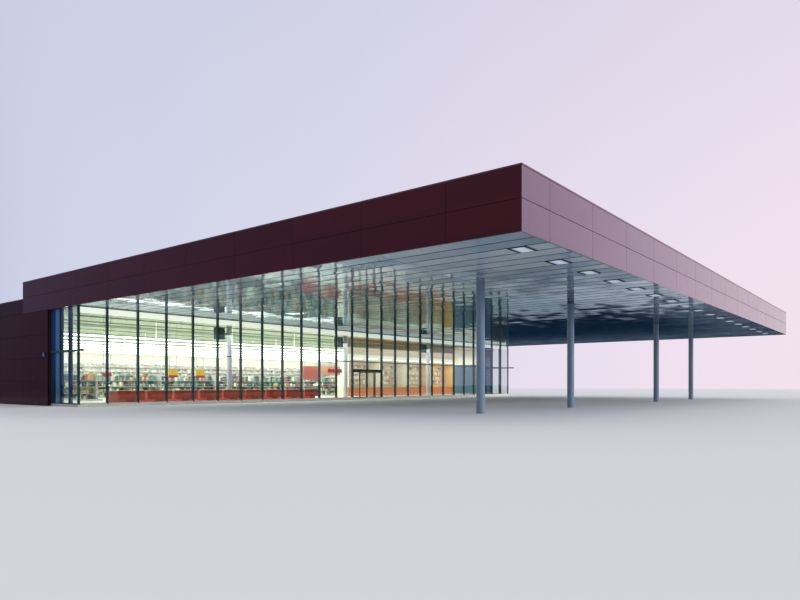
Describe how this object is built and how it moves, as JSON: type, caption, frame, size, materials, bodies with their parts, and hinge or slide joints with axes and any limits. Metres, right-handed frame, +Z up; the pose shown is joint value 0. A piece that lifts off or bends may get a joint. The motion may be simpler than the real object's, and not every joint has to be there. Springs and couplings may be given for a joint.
{
  "type": "supermarket building, 1:2 scale model",
  "caption": "Single-storey supermarket hall with a deep flat canopy on round columns, dark red panel cladding, a full-height glass front and sliding entrance doors.",
  "frame": {"origin": "on the ground under the middle of the plan's bounding box", "axes": "+X towards the open end of the canopy, +Y towards the rear long side, +Z up"},
  "size_m": [29.427, 26.09, 4.04],
  "materials": {
    "red_panel": "dark red, glossy",
    "floor_concrete": "pale floor tiles on concrete",
    "wall_core": "plain concrete",
    "roof_steel": "primed steel",
    "roof_membrane": "grey roofing sheet",
    "coping_metal": "dark red folded metal",
    "soffit_metal": "mirror-like strips",
    "ceiling_white": "pale matt",
    "column_grey": "light grey",
    "dark_frame": "dark green-black",
    "head_white": "white",
    "sill_concrete": "pale concrete",
    "clear_glass": "clear",
    "light_frame": "pale diffuser in a dark rim",
    "light_white": "white diffuser",
    "unit_dark": "dark casing",
    "lamp_glass": "pale blue-white diffuser",
    "shelf_metal": "light grey",
    "counter_orange": "orange red",
    "kiosk_board": "warm brown board"
  },
  "bodies": {
    "building": {"floor_slab": "floor_concrete", "front_wall": "wall_core", "rear_wall": "wall_core", "end_wall": "wall_core", "front_wall_cladding": "red_panel", "rear_wall_cladding": "red_panel", "end_wall_cladding": "red_panel", "front_fascia": "red_panel", "rear_fascia": "red_panel", "open_end_fascia": "red_panel", "step_fascia": "red_panel", "long_edge_beams": "roof_steel", "cross_edge_beams": "roof_steel", "high_roof_deck": "roof_membrane", "low_roof_deck": "roof_membrane", "roof_girders": "roof_steel", "roof_joists": "roof_steel", "roof_copings": "coping_metal", "soffit_fields": "soffit_metal", "soffit_column_strip": "soffit_metal", "hall_ceiling": "ceiling_white", "canopy_columns": "column_grey", "hall_columns": "column_grey", "glass_wall_fins": "dark_frame", "glass_wall_rail": "dark_frame", "glass_wall_head_box": "head_white", "glass_wall_sills": "sill_concrete", "glass_wall_lower_panes": "clear_glass", "glass_wall_upper_panes": "clear_glass", "return_frames": "dark_frame", "return_panes": "clear_glass", "entrance_header": "dark_frame", "entrance_side_frames": "dark_frame", "entrance_side_glass": "clear_glass", "soffit_lights": "light_frame", "hall_light_lines": "light_white", "column_air_units": "unit_dark", "wall_lamps": "lamp_glass", "shelf_rows": "shelf_metal", "checkout_counters": "counter_orange", "kiosk_row": "kiosk_board"},
    "left_door": {"left_door_frame": "dark_frame", "left_door_glass": "clear_glass"},
    "right_door": {"right_door_frame": "dark_frame", "right_door_glass": "clear_glass"}
  },
  "joints": [
    {"name": "left_door_slide", "type": "slide", "parent": "building", "child": "left_door", "axis": [0, -1, 0], "range_m": [0, 0.471]},
    {"name": "right_door_slide", "type": "slide", "parent": "building", "child": "right_door", "axis": [0, 1, 0], "range_m": [0, 0.471]}
  ],
  "couplings": [
    {"joint": "right_door_slide", "follows": "left_door_slide", "ratio": 1}
  ]
}
